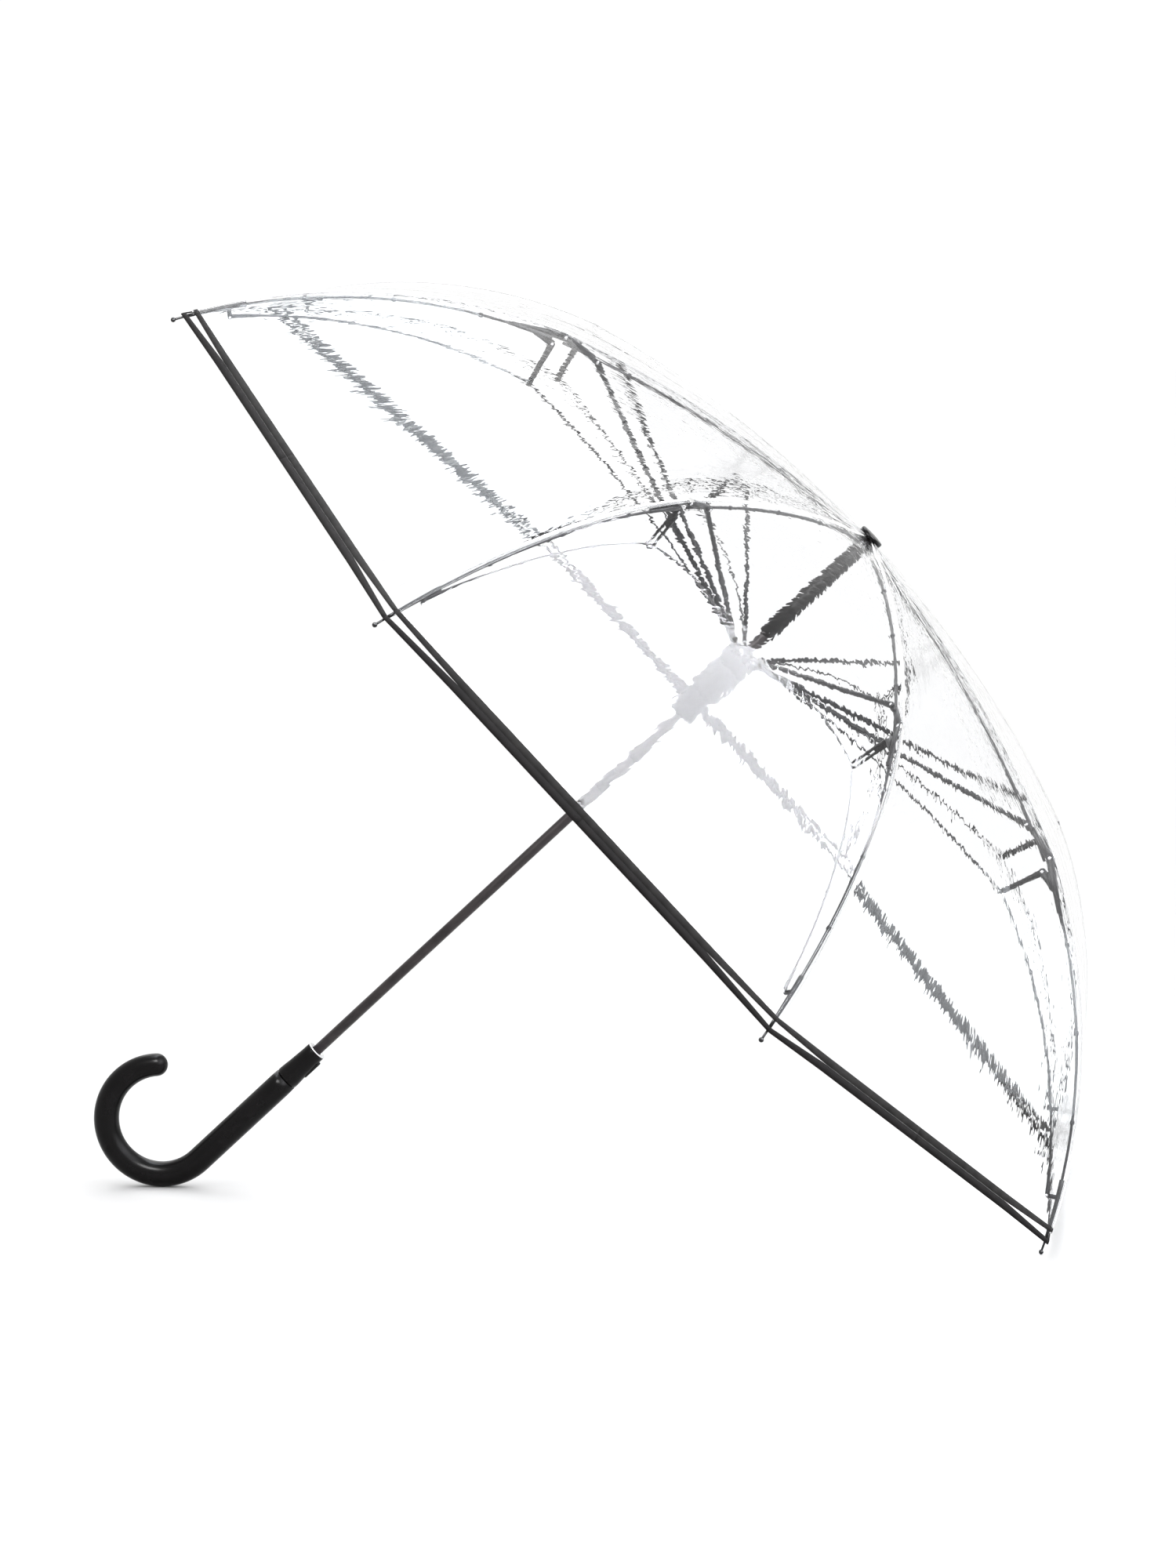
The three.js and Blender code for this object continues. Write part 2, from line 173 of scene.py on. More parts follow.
def loft(rings, closed=False):
    """One closed body through rings of points, each with the same count."""
    count = len(rings[0])
    verts = [p for ring in rings for p in ring]
    faces = []
    spans = len(rings) if closed else len(rings) - 1
    for i in range(spans):
        here = i * count
        there = ((i + 1) % len(rings)) * count
        for j in range(count):
            nxt = (j + 1) % count
            faces.append((here + j, here + nxt, there + nxt, there + j))
    if not closed:
        faces.append(tuple(reversed(range(count))))
        faces.append(tuple(range(len(verts) - count, len(verts))))
    return verts, faces


def joined(parts):
    """Several bodies as one mesh."""
    verts, faces = [], []
    for part_verts, part_faces in parts:
        start = len(verts)
        verts.extend(part_verts)
        faces.extend(tuple(start + i for i in face) for face in part_faces)
    return verts, faces


NO_RODS_WAY = (0.31, 0.87, 0.38)  # a direction that no rod runs along


def tube(points, radius, sides=10):
    """A round rod along points; radius is a number or one for each point."""
    points = np.array(points, float)
    radii = np.broadcast_to(np.asarray(radius, float), len(points))
    tangents = np.gradient(points, axis=0)
    tangents /= np.linalg.norm(tangents, axis=1)[:, None]
    side = unit(np.cross(tangents[0], NO_RODS_WAY))
    rings = []
    for p, t, r in zip(points, tangents, radii):
        side = unit(side - t * (side @ t))
        other = np.cross(t, side)
        rings.append([
            p + r * (math.cos(a) * side + math.sin(a) * other)
            for a in np.linspace(0, 2 * math.pi, sides, endpoint=False)
        ])
    return loft(rings)


def turned(outline, segments=64, closed=False):
    """A body turned about the shaft's axis from (radius, s) places."""
    angles = np.linspace(0, 2 * math.pi, segments, endpoint=False)
    return loft([[at(-a, max(r, 1e-5), s) for a in angles] for r, s in outline], closed)


def collar_shape(inner, outline, segments=64):
    """A turned ring round the shaft with an inner bore."""
    return turned([(inner, outline[0][1]), *outline, (inner, outline[-1][1])], segments, closed=True)


def plate(azimuth, start, end, radius, lanes, end_radius=None, bevel=0.00025, steps=8):
    """A flat bar with round ends and softened edges, in the rib's plane."""
    start, end = np.array(start), np.array(end)
    end_radius = end_radius or radius
    along = math.atan2(*(end - start)[::-1])
    turns = np.linspace(-math.pi / 2, math.pi / 2, steps + 1) + along

    def outline(inset, lane):
        tip_ring = [end + (end_radius - inset) * np.array([math.cos(a), math.sin(a)]) for a in turns]
        root_ring = [start - (radius - inset) * np.array([math.cos(a), math.sin(a)]) for a in turns]
        return [at(azimuth, p[0], p[1], lane) for p in tip_ring + root_ring]

    low, high = lanes
    levels = ((bevel, low), (0, low + bevel), (0, high - bevel), (bevel, high))
    return loft([outline(inset, lane) for inset, lane in levels])


def pin(azimuth, place, radius, lanes, sides=14):
    """A rivet across the rib's plane, with a domed head at each side."""
    low, high = lanes
    dome = 0.0005
    rings = []
    for lane, r in ((low - dome, 0.45), (low - dome * 0.6, 0.85), (low, 1), (high, 1),
                    (high + dome * 0.6, 0.85), (high + dome, 0.45)):
        rings.append([
            at(azimuth, place[0] + r * radius * math.cos(a), place[1] + r * radius * math.sin(a), lane)
            for a in np.linspace(0, 2 * math.pi, sides, endpoint=False)
        ])
    return loft(rings)


def ball(centre, radius, rings=8, sides=14, pole=0.12):
    turns = np.linspace(pole, math.pi - pole, rings)
    angles = np.linspace(0, 2 * math.pi, sides, endpoint=False)
    outwards = [math.cos(a) * LOW_SIDE + math.sin(a) * FAR_SIDE for a in angles]
    return loft([
        [centre + radius * (math.cos(t) * DOWN + math.sin(t) * outward) for outward in outwards]
        for t in turns
    ])


def in_plane(azimuth, line, lane=0.0):
    """A line of (r, s) places, put in the plane of the rib at an azimuth."""
    return [at(azimuth, p[0], p[1], lane) for p in line]


def along_line(line, distance, from_end=False):
    """The point of a line at a distance from its start, or from its end."""
    line = line[::-1] if from_end else line
    lengths = np.concatenate([[0], np.cumsum(np.linalg.norm(np.diff(line, axis=0), axis=1))])
    return np.array([np.interp(distance, lengths, line[:, i]) for i in range(2)])


def length_of(line):
    return float(np.sum(np.linalg.norm(np.diff(line, axis=0), axis=1)))


def stretch(line, start, end, from_end=False, steps=8):
    """The piece of a line between two distances."""
    return np.array([along_line(line, d, from_end) for d in np.linspace(start, end, steps)])


# ---------------------------------------------------------------- materials
class Nodes:
    """A short way to add nodes to a material."""

    def __init__(self, name):
        self.material = bpy.data.materials.new(name)
        self.material.use_nodes = True
        self.tree = self.material.node_tree
        self.tree.nodes.clear()
        self.output = self.add("ShaderNodeOutputMaterial")

    def add(self, kind, **settings):
        node = self.tree.nodes.new(kind)
        for key, value in settings.items():
            setattr(node, key, value)
        return node

    def link(self, a, b):
        self.tree.links.new(a, b)

    def noise(self, vector, scale, detail=3.0):
        node = self.add("ShaderNodeTexNoise")
        node.inputs["Scale"].default_value = scale
        node.inputs["Detail"].default_value = detail
        self.link(vector, node.inputs["Vector"])
        return node.outputs["Fac"]

    def scaled(self, vector, scale):
        node = self.add("ShaderNodeMapping")
        node.inputs["Scale"].default_value = scale
        self.link(vector, node.inputs["Vector"])
        return node.outputs["Vector"]

    def math(self, operation, a, b):
        node = self.add("ShaderNodeMath", operation=operation)
        for socket, value in zip(node.inputs, (a, b)):
            if isinstance(value, (int, float)):
                socket.default_value = value
            else:
                self.link(value, socket)
        return node.outputs[0]

    def ramp(self, factor, low, high, colours):
        node = self.add("ShaderNodeValToRGB")
        node.color_ramp.elements[0].position = low
        node.color_ramp.elements[1].position = high
        node.color_ramp.elements[0].color = (*colours[0], 1)
        node.color_ramp.elements[1].color = (*colours[1], 1)
        self.link(factor, node.inputs["Fac"])
        return node.outputs["Color"]

    def bump(self, height, strength, distance):
        node = self.add("ShaderNodeBump")
        node.inputs["Strength"].default_value = strength
        node.inputs["Distance"].default_value = distance
        self.link(height, node.inputs["Height"])
        return node.outputs["Normal"]

    def surface(self, shader):
        self.link(shader, self.output.inputs["Surface"])
        return self.material


def moulded(name, dark, light, rough, metallic=0.0, grain=900.0, bump=0.15, shine=0.2):
    """Enamelled metal or moulded plastic: slight colour change, fine grain and uneven gloss."""
    n = Nodes(name)
    where = n.add("ShaderNodeTexCoord").outputs["Object"]
    shader = n.add("ShaderNodeBsdfPrincipled")
    n.link(n.ramp(n.noise(where, 60.0), 0.3, 0.7, (dark, light)), shader.inputs["Base Color"])
    gloss = n.add("ShaderNodeMapRange")
    gloss.inputs["To Min"].default_value = rough - 0.06
    gloss.inputs["To Max"].default_value = rough + 0.08
    n.link(n.noise(where, 140.0, 4.0), gloss.inputs["Value"])
    n.link(gloss.outputs["Result"], shader.inputs["Roughness"])
    n.link(n.bump(n.noise(where, grain, 2.0), bump, 0.0001), shader.inputs["Normal"])
    shader.inputs["Metallic"].default_value = metallic
    shader.inputs["Specular IOR Level"].default_value = shine
    return n.surface(shader.outputs[0])


def binding_cloth(name, dark, light):
    """Woven tape: a plain weave of fine threads on the tape's own length and width."""
    n = Nodes(name)
    where = n.add("ShaderNodeUVMap", uv_map="tape").outputs["UV"]
    shader = n.add("ShaderNodeBsdfPrincipled")
    threads = []
    for direction in ("X", "Y"):
        wave = n.add("ShaderNodeTexWave", bands_direction=direction)
        wave.inputs["Scale"].default_value = 330.0
        wave.inputs["Distortion"].default_value = 0.6
        n.link(where, wave.inputs["Vector"])
        threads.append(wave.outputs["Fac"])
    weave = n.math("MAXIMUM", *threads)
    shade = n.math("MULTIPLY", weave, n.noise(where, 90.0, 4.0))
    n.link(n.ramp(shade, 0.15, 0.75, (dark, light)), shader.inputs["Base Color"])
    n.link(n.bump(weave, 0.6, 0.0003), shader.inputs["Normal"])
    shader.inputs["Roughness"].default_value = 0.82
    shader.inputs["Specular IOR Level"].default_value = 0.1
    return n.surface(shader.outputs[0])


def clear_in_shadow(n, shader, tint):
    """The shader, but light on its way to what lies behind passes straight through with a tint."""
    clear = n.add("ShaderNodeBsdfTransparent")
    clear.inputs["Color"].default_value = tint
    mix = n.add("ShaderNodeMixShader")
    n.link(n.add("ShaderNodeLightPath").outputs["Is Shadow Ray"], mix.inputs["Fac"])
    n.link(shader.outputs[0], mix.inputs[1])
    n.link(clear.outputs[0], mix.inputs[2])
    return n.surface(mix.outputs[0])


def clear_film():
    """Clear sheet: glossy, a little blue in depth, with fine wrinkles that break up what is behind it."""
    n = Nodes("clear_film")
    where = n.add("ShaderNodeUVMap", uv_map="film").outputs["UV"]
    streaks = n.noise(n.scaled(where, (70.0, 22.0, 1.0)), 1.0, 1.0)
    crinkle = n.noise(n.scaled(where, (210.0, 80.0, 1.0)), 1.0, 1.0)
    height = n.math("ADD", streaks, n.math("MULTIPLY", crinkle, 0.6))
    shader = n.add("ShaderNodeBsdfPrincipled")
    shader.inputs["Base Color"].default_value = (0.975, 0.98, 0.99, 1)
    shader.inputs["Roughness"].default_value = 0.0
    shader.inputs["IOR"].default_value = 1.011
    shader.inputs["Transmission Weight"].default_value = 1.0
    shader.inputs["Coat Weight"].default_value = 0.6
    shader.inputs["Coat Roughness"].default_value = 0.1
    shader.inputs["Coat IOR"].default_value = 1.45
    facing = n.add("ShaderNodeLayerWeight")
    facing.inputs["Blend"].default_value = 0.4
    calm = n.math("SUBTRACT", 1.0, facing.outputs["Facing"])
    n.link(n.bump(n.math("MULTIPLY", height, calm), 1.0, 0.0048), shader.inputs["Normal"])
    n.link(n.bump(height, 1.0, 0.0007), shader.inputs["Coat Normal"])
    return clear_in_shadow(n, shader, (0.98, 0.985, 0.99, 1))


def seam_film():
    """The welded double layer over each rib, thick enough to bend the light at its edges."""
    n = Nodes("seam_film")
    where = n.add("ShaderNodeTexCoord").outputs["Object"]
    shader = n.add("ShaderNodeBsdfPrincipled")
    shader.inputs["Base Color"].default_value = (0.96, 0.97, 0.98, 1)
    shader.inputs["Roughness"].default_value = 0.08
    shader.inputs["IOR"].default_value = 1.12
    shader.inputs["Transmission Weight"].default_value = 1.0
    n.link(n.bump(n.noise(where, 320.0, 2.0), 0.5, 0.0006), shader.inputs["Normal"])
    return clear_in_shadow(n, shader, (1, 1, 1, 1))


RIB_METAL = moulded("black_enamel", (0.008, 0.008, 0.009), (0.018, 0.018, 0.020), 0.3, 0.2, shine=0.35)
SHAFT_METAL = moulded(
    "brown_black_enamel", (0.022, 0.018, 0.019), (0.040, 0.033, 0.034), 0.34, 0.3, shine=0.3)
BLACK_PLASTIC = moulded(
    "satin_black_plastic", (0.004, 0.0036, 0.004), (0.009, 0.008, 0.008), 0.34, shine=0.14)
GRIP_PLASTIC = moulded(
    "satin_grip", (0.002, 0.0017, 0.0018), (0.004, 0.0034, 0.0036), 0.24, grain=1500.0, bump=0.06, shine=0.12)
BRIGHT_METAL = moulded("bright_metal", (0.62, 0.62, 0.63), (0.78, 0.78, 0.79), 0.2, 1.0, bump=0.05, shine=0.5)
THREAD = moulded("black_thread", (0.012, 0.012, 0.013), (0.035, 0.035, 0.037), 0.85, grain=2600.0, bump=0.8)
TAPE_DARK = binding_cloth("binding_tape", (0.005, 0.004, 0.004), (0.020, 0.017, 0.017))
TAPE_LIGHT = binding_cloth("binding_fold", (0.014, 0.013, 0.013), (0.055, 0.052, 0.051))
FILM = clear_film()
SEAM = seam_film()


# ---------------------------------------------------------------- ribs and linkage
def knot(azimuth, place, direction, radius, reach=0.0022):
    """A small tie of thread round a rod or wire."""
    place, direction = np.array(place), unit(np.array(direction))
    line = [place + direction * reach * x for x in (-1, -0.7, -0.25, 0.25, 0.7, 1)]
    return tube(in_plane(azimuth, line), [radius * x for x in (0.9, 1.35, 1.6, 1.6, 1.35, 0.9)], 8)


def knots_on(azimuth, line, radius, distances, lane=0.0):
    """Ties at some distances along a rod or wire."""
    parts = []
    for d in distances:
        place = along_line(line, d)
        ahead = along_line(line, d + 0.002) - place
        verts, faces = knot(azimuth, place, ahead, radius)
        parts.append(([v - across(azimuth) * lane for v in verts], faces))
    return parts


def rib(k):
    """Rib k: a round inner rod and outer rod, the brackets and rivets at the elbow, and the thread ties."""
    az = azimuth_of(k)
    inner_body, outer_body = f"inner_rib_{k}", f"outer_rib_{k}"
    bracket_start = along_line(INNER_LINE, 0.030, from_end=True)
    inner = [
        tube(in_plane(az, INNER_LINE), ROD),
        plate(az, CROWN_HINGE, along_line(INNER_LINE, 0.006), 0.0021, ROD_LANE, 0.0016),
        plate(az, bracket_start, ELBOW, 0.0021, ROD_LANE, 0.0030),
        plate(az, LUG, LUG + [0.004, 0.0006], 0.0026, (-0.0018, 0.0026), 0.0022),
    ]
    mesh_object(f"inner_rib_{k}_rod", *joined(inner), RIB_METAL, inner_body, [f"inner_rib_{k}"])
    link_start = along_line(OUTER_LINE, 0.012)
    link_end = along_line(OUTER_LINE, 0.026)
    sleeve_end = along_line(OUTER_LINE, 0.046)
    outer = [
        tube(in_plane(az, stretch(OUTER_LINE, 0.011, length_of(OUTER_LINE) - 0.010, steps=60)), ROD * 0.9),
        tube(in_plane(az, stretch(OUTER_LINE, 0.014, 0.050)), np.linspace(0.0020, 0.0015, 8), 12),
        plate(az, link_start, link_end, 0.0019, (-0.001, CHEEK_LANE[1]), 0.0019),
        plate(az, ELBOW, sleeve_end, 0.0031, CHEEK_LANE, 0.0018),
        plate(az, STRUT_ROOT, link_end, 0.0030, CHEEK_LANE, 0.0022),
        tube(
            in_plane(az, stretch(OUTER_LINE, 0.012, 0.062, from_end=True)),
            np.linspace(0.0014, 0.0022, 8), 12),
        plate(az, along_line(OUTER_LINE, 0.047, from_end=True), BOW_CLIP, 0.0020, (-0.001, 0.001), 0.0018),
        tube(in_plane(az, stretch(OUTER_LINE, 0.001, 0.014, from_end=True)), 0.0010),
        ball(at(az, *TIP), 0.0021),
    ]
    mesh_object(f"outer_rib_{k}_rod", *joined(outer), RIB_METAL, outer_body, [f"outer_rib_{k}"])
    rivets = [
        pin(az, ELBOW, 0.0015, (-0.0013, 0.0028)),
        pin(az, STRUT_ROOT, 0.0014, (-0.0013, 0.0028)),
    ]
    mesh_object(f"elbow_rivets_{k}", *joined(rivets), BRIGHT_METAL, outer_body)
    mesh_object(f"lug_rivet_{k}", *pin(az, LUG, 0.0013, (-0.0019, 0.0047)), BRIGHT_METAL, inner_body)
    mesh_object(
        f"inner_knots_{k}", *joined(knots_on(az, INNER_LINE, ROD, (0.095, 0.175, 0.255))), THREAD, inner_body)
    mesh_object(
        f"outer_knots_{k}", *joined(knots_on(az, OUTER_LINE, ROD, (0.075, 0.150, 0.225))), THREAD, outer_body)


def stretcher(k):
    """A flat bar from the runner to the inner rib's lug, wider at its ends."""
    az = azimuth_of(k)
    near = RUNNER_HINGE + (LUG - RUNNER_HINGE) * 0.055
    far = LUG + (RUNNER_HINGE - LUG) * 0.075
    bar = [
        plate(az, RUNNER_HINGE, LUG, 0.0020, STRETCHER_LANE),
        plate(az, RUNNER_HINGE, near, 0.0026, STRETCHER_LANE, 0.0018),
        plate(az, far, LUG, 0.0019, STRETCHER_LANE, 0.0028),
    ]
    mesh_object(f"stretcher_{k}_bar", *joined(bar), RIB_METAL, f"stretcher_{k}", [f"stretcher_{k}"])


def strut(k):
    """The forked strut: solid near the rib, then two prongs side by side, joined by a round end."""
    az = azimuth_of(k)
    way = STRUT_EYE - STRUT_ROOT
    block_start = STRUT_ROOT + way * 0.14
    block_end = STRUT_ROOT + way * 0.38
    inside, outside = 0.0015, 0.0029
    prong_middle = (inside + outside) / 2
    parts = [
        plate(az, STRUT_ROOT, block_start, 0.0027, ROD_LANE),
        plate(az, block_start, block_end, 0.0021, (-outside, outside), 0.0018),
        plate(az, block_end, STRUT_EYE, 0.0016, (-outside, -inside)),
        plate(az, block_end, STRUT_EYE, 0.0016, (inside, outside)),
    ]
    loop = [
        at(az, *(STRUT_EYE + unit(way) * 0.0020 * math.cos(a)), prong_middle * math.sin(a))
        for a in np.linspace(-math.pi / 2, math.pi / 2, 13)
    ]
    parts.append(tube(loop, 0.0011, 8))
    mesh_object(f"strut_{k}_fork", *joined(parts), BLACK_PLASTIC, f"strut_{k}", [f"strut_{k}"])


def wires(k):
    """The bow wire beside the outer rib, and the control wire from the strut to the runner."""
    az = azimuth_of(k)
    bow = [
        tube(in_plane(az, BOW_LINE, BOW_LANE), WIRE, 8),
        tube(
            in_plane(az, stretch(BOW_LINE, 0.0, 0.024, from_end=True), BOW_LANE),
            np.linspace(0.0017, 0.0013, 8)),
    ]
    bow += knots_on(az, BOW_LINE, WIRE, (0.075, 0.160), BOW_LANE)
    mesh_object(f"bow_wire_{k}_rod", *joined(bow), RIB_METAL, f"bow_wire_{k}", [f"bow_wire_{k}"])
    mesh_object(
        f"bow_rivet_{k}", *pin(az, BOW_CLIP, 0.0012, (-0.0011, 0.0040)), BRIGHT_METAL, f"outer_rib_{k}")
    control = [
        tube(in_plane(az, CONTROL_LINE, CONTROL_LANE), WIRE, 8),
        tube(in_plane(az, stretch(CONTROL_LINE, 0.0, 0.012), CONTROL_LANE), 0.0014),
    ]
    mesh_object(
        f"control_wire_{k}_rod", *joined(control), RIB_METAL, f"control_wire_{k}", [f"control_wire_{k}"])


for rib_number in RIBS:
    rib(rib_number)
    stretcher(rib_number)
    strut(rib_number)
    wires(rib_number)


# ---------------------------------------------------------------- shaft, crown and runner
# Outlines below are (radius, distance down from the crown).
SHAFT = 0.0045
BORE = 0.0047
NOTCH_RING_TOP, NOTCH_RING_FLOOR = 0.0012, 0.0084
RUNNER_FINGER_TOP, RUNNER_FINGER_FLOOR = 0.1400, 0.1486
RUNNER_BORE = 0.0064  # radii
RUNNER_HEAD = 0.0115
RUNNER_BARREL = 0.0156
RUNNER_GROOVE = 0.0150
RUNNER_NECK = 0.0118


def fingers(azimuth_shift, inner, outer, width, top, bottom):
    """Eight upright plates round the shaft, with round outer ends."""
    middle, half_height = (top + bottom) / 2, (bottom - top) / 2
    return [
        plate(
            azimuth_of(k) + azimuth_shift, [inner, middle], [outer - half_height, middle], half_height,
            (-width / 2, width / 2))
        for k in RIBS
    ]


def softened(inner, radius, top, bottom, inset, drop, segments=64):
    """A plain collar whose outer edges are softened."""
    outline = [(radius - inset, top), (radius, top + drop), (radius, bottom - drop), (radius - inset, bottom)]
    return collar_shape(inner, outline, segments)


# The rings along the plain tube keep its smooth shading even from end to end.
mesh_object(
    "shaft_tube",
    *turned([(SHAFT, 0.0003), (SHAFT, 0.15), (SHAFT, 0.45), (SHAFT, 0.72)], 48),
    SHAFT_METAL, "root", ["shaft"])
mesh_object(
    "shaft_band",
    *softened(SHAFT, 0.0052, 0.296, 0.319, 0.0002, 0.0005, 48),
    BLACK_PLASTIC, "root")
mesh_object(
    "crown_cap",
    *turned([(0.0110, 0.0), (0.0115, -0.0004), (0.0115, -0.0026), (0.0108, -0.0033), (0.0095, -0.0035),
             (0.0030, -0.0037), (0.0, -0.00375)]),
    GRIP_PLASTIC, "root", ["top_cap"])
mesh_object(
    "crown_notch_ring",
    *joined([
        collar_shape(BORE, [(0.0062, NOTCH_RING_TOP), (0.0064, 0.0016), (0.0064, 0.0096), (0.0060, 0.010)]),
        *fingers(PITCH / 2, 0.0058, 0.011, 0.0022, NOTCH_RING_TOP, NOTCH_RING_FLOOR)]),
    BLACK_PLASTIC, "root", ["crown_hub"])
mesh_object(
    "shaft_sleeve",
    *collar_shape(
        BORE, [(0.0066, 0.011), (0.0070, 0.0115), (0.0070, 0.112), (0.0066, 0.1125), (0.0062, 0.118)]),
    BLACK_PLASTIC, "root", ["spacer_sleeve"])
mesh_object(
    "shaft_stop",
    *softened(BORE, 0.0060, 0.275, 0.279, 0.0004, 0.0006),
    BLACK_PLASTIC, "root", ["shaft_catch"])
mesh_object(
    "runner_body",
    *joined([
        collar_shape(RUNNER_BORE, [
            (0.0110, 0.1385), (RUNNER_HEAD, 0.139), (RUNNER_HEAD, 0.1478),
            (0.0132, 0.1480), (RUNNER_GROOVE, RUNNER_FINGER_FLOOR),
            (RUNNER_BARREL, 0.1500), (RUNNER_BARREL, 0.1600),
            (RUNNER_GROOVE, 0.1604), (RUNNER_GROOVE, 0.1620),
            (RUNNER_BARREL, 0.1624), (RUNNER_BARREL, 0.1915),
            (RUNNER_GROOVE, 0.1930), (0.0120, 0.1948),
            (RUNNER_NECK, 0.1960), (RUNNER_NECK, 0.2195), (0.0112, 0.2212), (0.0104, 0.2220)]),
        *fingers(0, 0.0100, 0.0176, 0.0030, RUNNER_FINGER_TOP, RUNNER_FINGER_FLOOR)]),
    BLACK_PLASTIC, "runner", ["runner"])
mesh_object(
    "runner_pins",
    *joined([pin(azimuth_of(k), RUNNER_HINGE, 0.0012, (-0.0051, 0.0048)) for k in RIBS]),
    BRIGHT_METAL, "runner")
mesh_object(
    "crown_wire_ring",
    *joined([pin(azimuth_of(k), CROWN_HINGE, 0.0008, (-0.0024, 0.0024)) for k in RIBS]),
    BRIGHT_METAL, "root")


# ---------------------------------------------------------------- handle
GRIP = 0.0112  # radius
GRIP_TOP_S = 0.7025
HOOK_RADIUS = 0.049
HOOK_CENTRE_S = 0.810
HOOK_SWEEP = math.radians(219)
TAPER = 0.10  # how much thinner the grip is at the hook's end
TAPER_STEPS = 27  # the last steps of the hook, where it thins


def handle():
    """The J handle with a domed end, its collar and the bright ring."""
    straight = [(0.0, s) for s in np.linspace(GRIP_TOP_S, HOOK_CENTRE_S, 14)[:-1]]
    turns = np.linspace(0, HOOK_SWEEP, 64)
    hook = [(HOOK_RADIUS * (math.cos(a) - 1), HOOK_CENTRE_S + HOOK_RADIUS * math.sin(a)) for a in turns]
    line = np.array(straight + hook)
    last, ahead = line[-1], unit(line[-1] - line[-2])
    dome_turns = np.linspace(0.2, math.pi / 2, 8)
    dome = [last + ahead * GRIP * (1 - TAPER) * math.sin(a) for a in dome_turns]
    steps_to_end = len(line) - np.arange(len(line))
    thinning = TAPER * np.clip(1 - steps_to_end / TAPER_STEPS, 0, 1) ** 1.5
    radii = list(GRIP * (1 - thinning))
    radii += [radii[-1] * max(math.cos(a), 0.06) for a in dome_turns]
    radii[0] = GRIP - 0.0004
    points = [CROWN + DOWN * s + LOW_SIDE * u for u, s in [*line, *dome]]
    mesh_object("handle_hook", *tube(points, radii, 48), GRIP_PLASTIC, "root", ["handle_grip"])
    mesh_object(
        "grip_collar",
        *collar_shape(BORE, [
            (0.0089, 0.6652), (0.0091, 0.6656), (0.0092, 0.672), (0.0100, 0.688), (0.0107, 0.6965),
            (0.0108, 0.7005), (0.0104, 0.7016)]),
        GRIP_PLASTIC, "root", ["handle_collar"])
    mesh_object(
        "bright_ring",
        *collar_shape(BORE, [(0.0088, 0.6640), (0.0093, 0.6643), (0.0093, 0.6649), (0.0088, 0.6651)]),
        BRIGHT_METAL, "root", ["collar_ring"])


def button():
    """A raised bar with round ends that slides into the collar."""
    mid, half, width = 0.6795, 0.0070, 0.0025
    turns = np.linspace(-math.pi / 2, math.pi / 2, 9)

    def outline(inset, height):
        low = [(half + (width - inset) * math.cos(a), (width - inset) * math.sin(a)) for a in turns]
        high = [(-s, -y) for s, y in low]
        return [CROWN + DOWN * (mid + s) + LOW_SIDE * height + FAR_SIDE * y for s, y in low + high]

    body = loft([outline(0, 0.0072), outline(0, 0.0102), outline(0.0003, 0.0106), outline(0.0009, 0.0109)])
    mesh_object("button_bar", *body, BLACK_PLASTIC, "release_button", ["release_button"])


handle()
button()


# ---------------------------------------------------------------- canopy film and hem
FILM_CLEARANCE = 0.0022  # from the middle of a rod to the film over it
ELBOW_CLEARANCE = 0.0080
FILM_START = [[0.0062, 0.0006], [0.013, 0.0007]]  # where the film lies flat on the crown, under the cap
HALF_GORE = PITCH / 2
BROAD_WRINKLE, FINE_WRINKLE = 0.0007, 0.0003
PATTERN_START = {"inner": 0.0, "outer": 0.33}  # where each panel's wrinkles and texture begin
PATTERN_TURN = 0.4  # how far the texture moves on for each radian round the crown, so that gores differ


def offset_line(line, first, last):
    """A line that runs outside another, at a distance that changes evenly from first to last."""
    ahead = np.gradient(line, axis=0)
    outward = np.stack([ahead[:, 1], -ahead[:, 0]], axis=1)
    outward /= np.linalg.norm(outward, axis=1)[:, None]
    return line + outward * np.linspace(first, last, len(line))[:, None]


OVER_INNER = np.vstack([FILM_START, offset_line(INNER_LINE, FILM_CLEARANCE, ELBOW_CLEARANCE)[3:]])
OVER_OUTER = offset_line(OUTER_LINE, ELBOW_CLEARANCE, FILM_CLEARANCE)
OVER_OUTER[0] = OVER_INNER[-1]


def on_gore(k, place, v):
    """A point of the taut film: v is 0 over rib k and -1 or 1 at the middle of a gore beside it."""
    az = azimuth_of(k)
    r, s = place
    lane = v * r * math.sin(HALF_GORE) * math.cos(HALF_GORE)
    inward = r * (1 - abs(v) * math.sin(HALF_GORE) ** 2)
    return CROWN + DOWN * s + radial(az) * inward + across(az) * lane


def wrinkled(point, k, v, along):
    """Fine tension folds that run up the gores, the same on both sides of each seam."""
    azimuth = azimuth_of(k) + v * HALF_GORE
    broad = noise.noise(Vector((azimuth * 22, along * 6, 3.1)))
    fine = noise.noise(Vector((azimuth * 60, along * 14, 7.7)))
    fade = min(1.0, along / 0.06) * (1 - math.exp(-abs(v) * 7))
    depth = (BROAD_WRINKLE * broad + FINE_WRINKLE * fine) * fade
    return point + (DOWN - radial(azimuth)) * depth * 0.7


